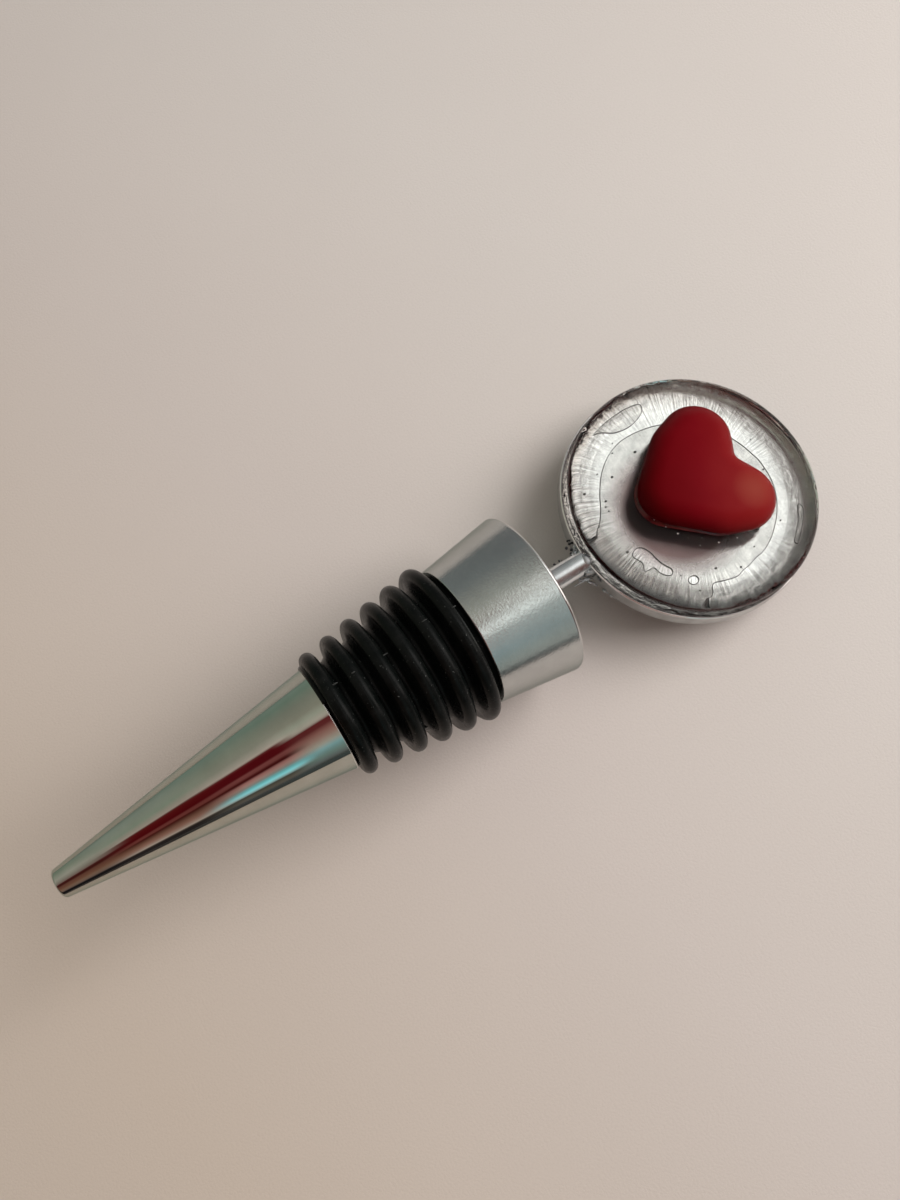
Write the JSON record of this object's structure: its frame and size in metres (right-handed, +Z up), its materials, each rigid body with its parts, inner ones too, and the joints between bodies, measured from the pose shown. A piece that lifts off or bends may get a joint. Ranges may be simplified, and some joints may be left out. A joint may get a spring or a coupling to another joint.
{
  "type": "wine bottle stopper",
  "caption": "Wine bottle stopper: chromed tapered plug, ribbed silicone sleeve, flared collar, and a round tray head holding a clear glass disc with a red heart.",
  "frame": {"origin": "middle of the footprint's bounding box, on the table the stopper lies on", "axes": "+X along the table towards the head, the plug's tip at -X; +Z up, with the head's glass face up; the stopper's own axis is in the XZ plane, head down by about 12 degrees"},
  "size_m": [0.123, 0.04, 0.0306],
  "materials": {
    "chromed_plastic": "polished",
    "silicone": "satin",
    "satin_aluminium": "satin",
    "plated_rod": "satin",
    "solder": "satin",
    "plated_tray": "satin",
    "clear_adhesive": "gloss",
    "clear_glass": "gloss",
    "clear_glue": "gloss",
    "red_enamel": "satin"
  },
  "bodies": {
    "root": {"plug": "chromed_plastic", "sleeve": "silicone", "collar": "satin_aluminium", "neck_post": "plated_rod", "solder_joint": "solder", "tray": "plated_tray", "adhesive_film": "clear_adhesive", "glass_disc": "clear_glass", "heart_glue": "clear_glue", "heart": "red_enamel"}
  },
  "joints": []
}
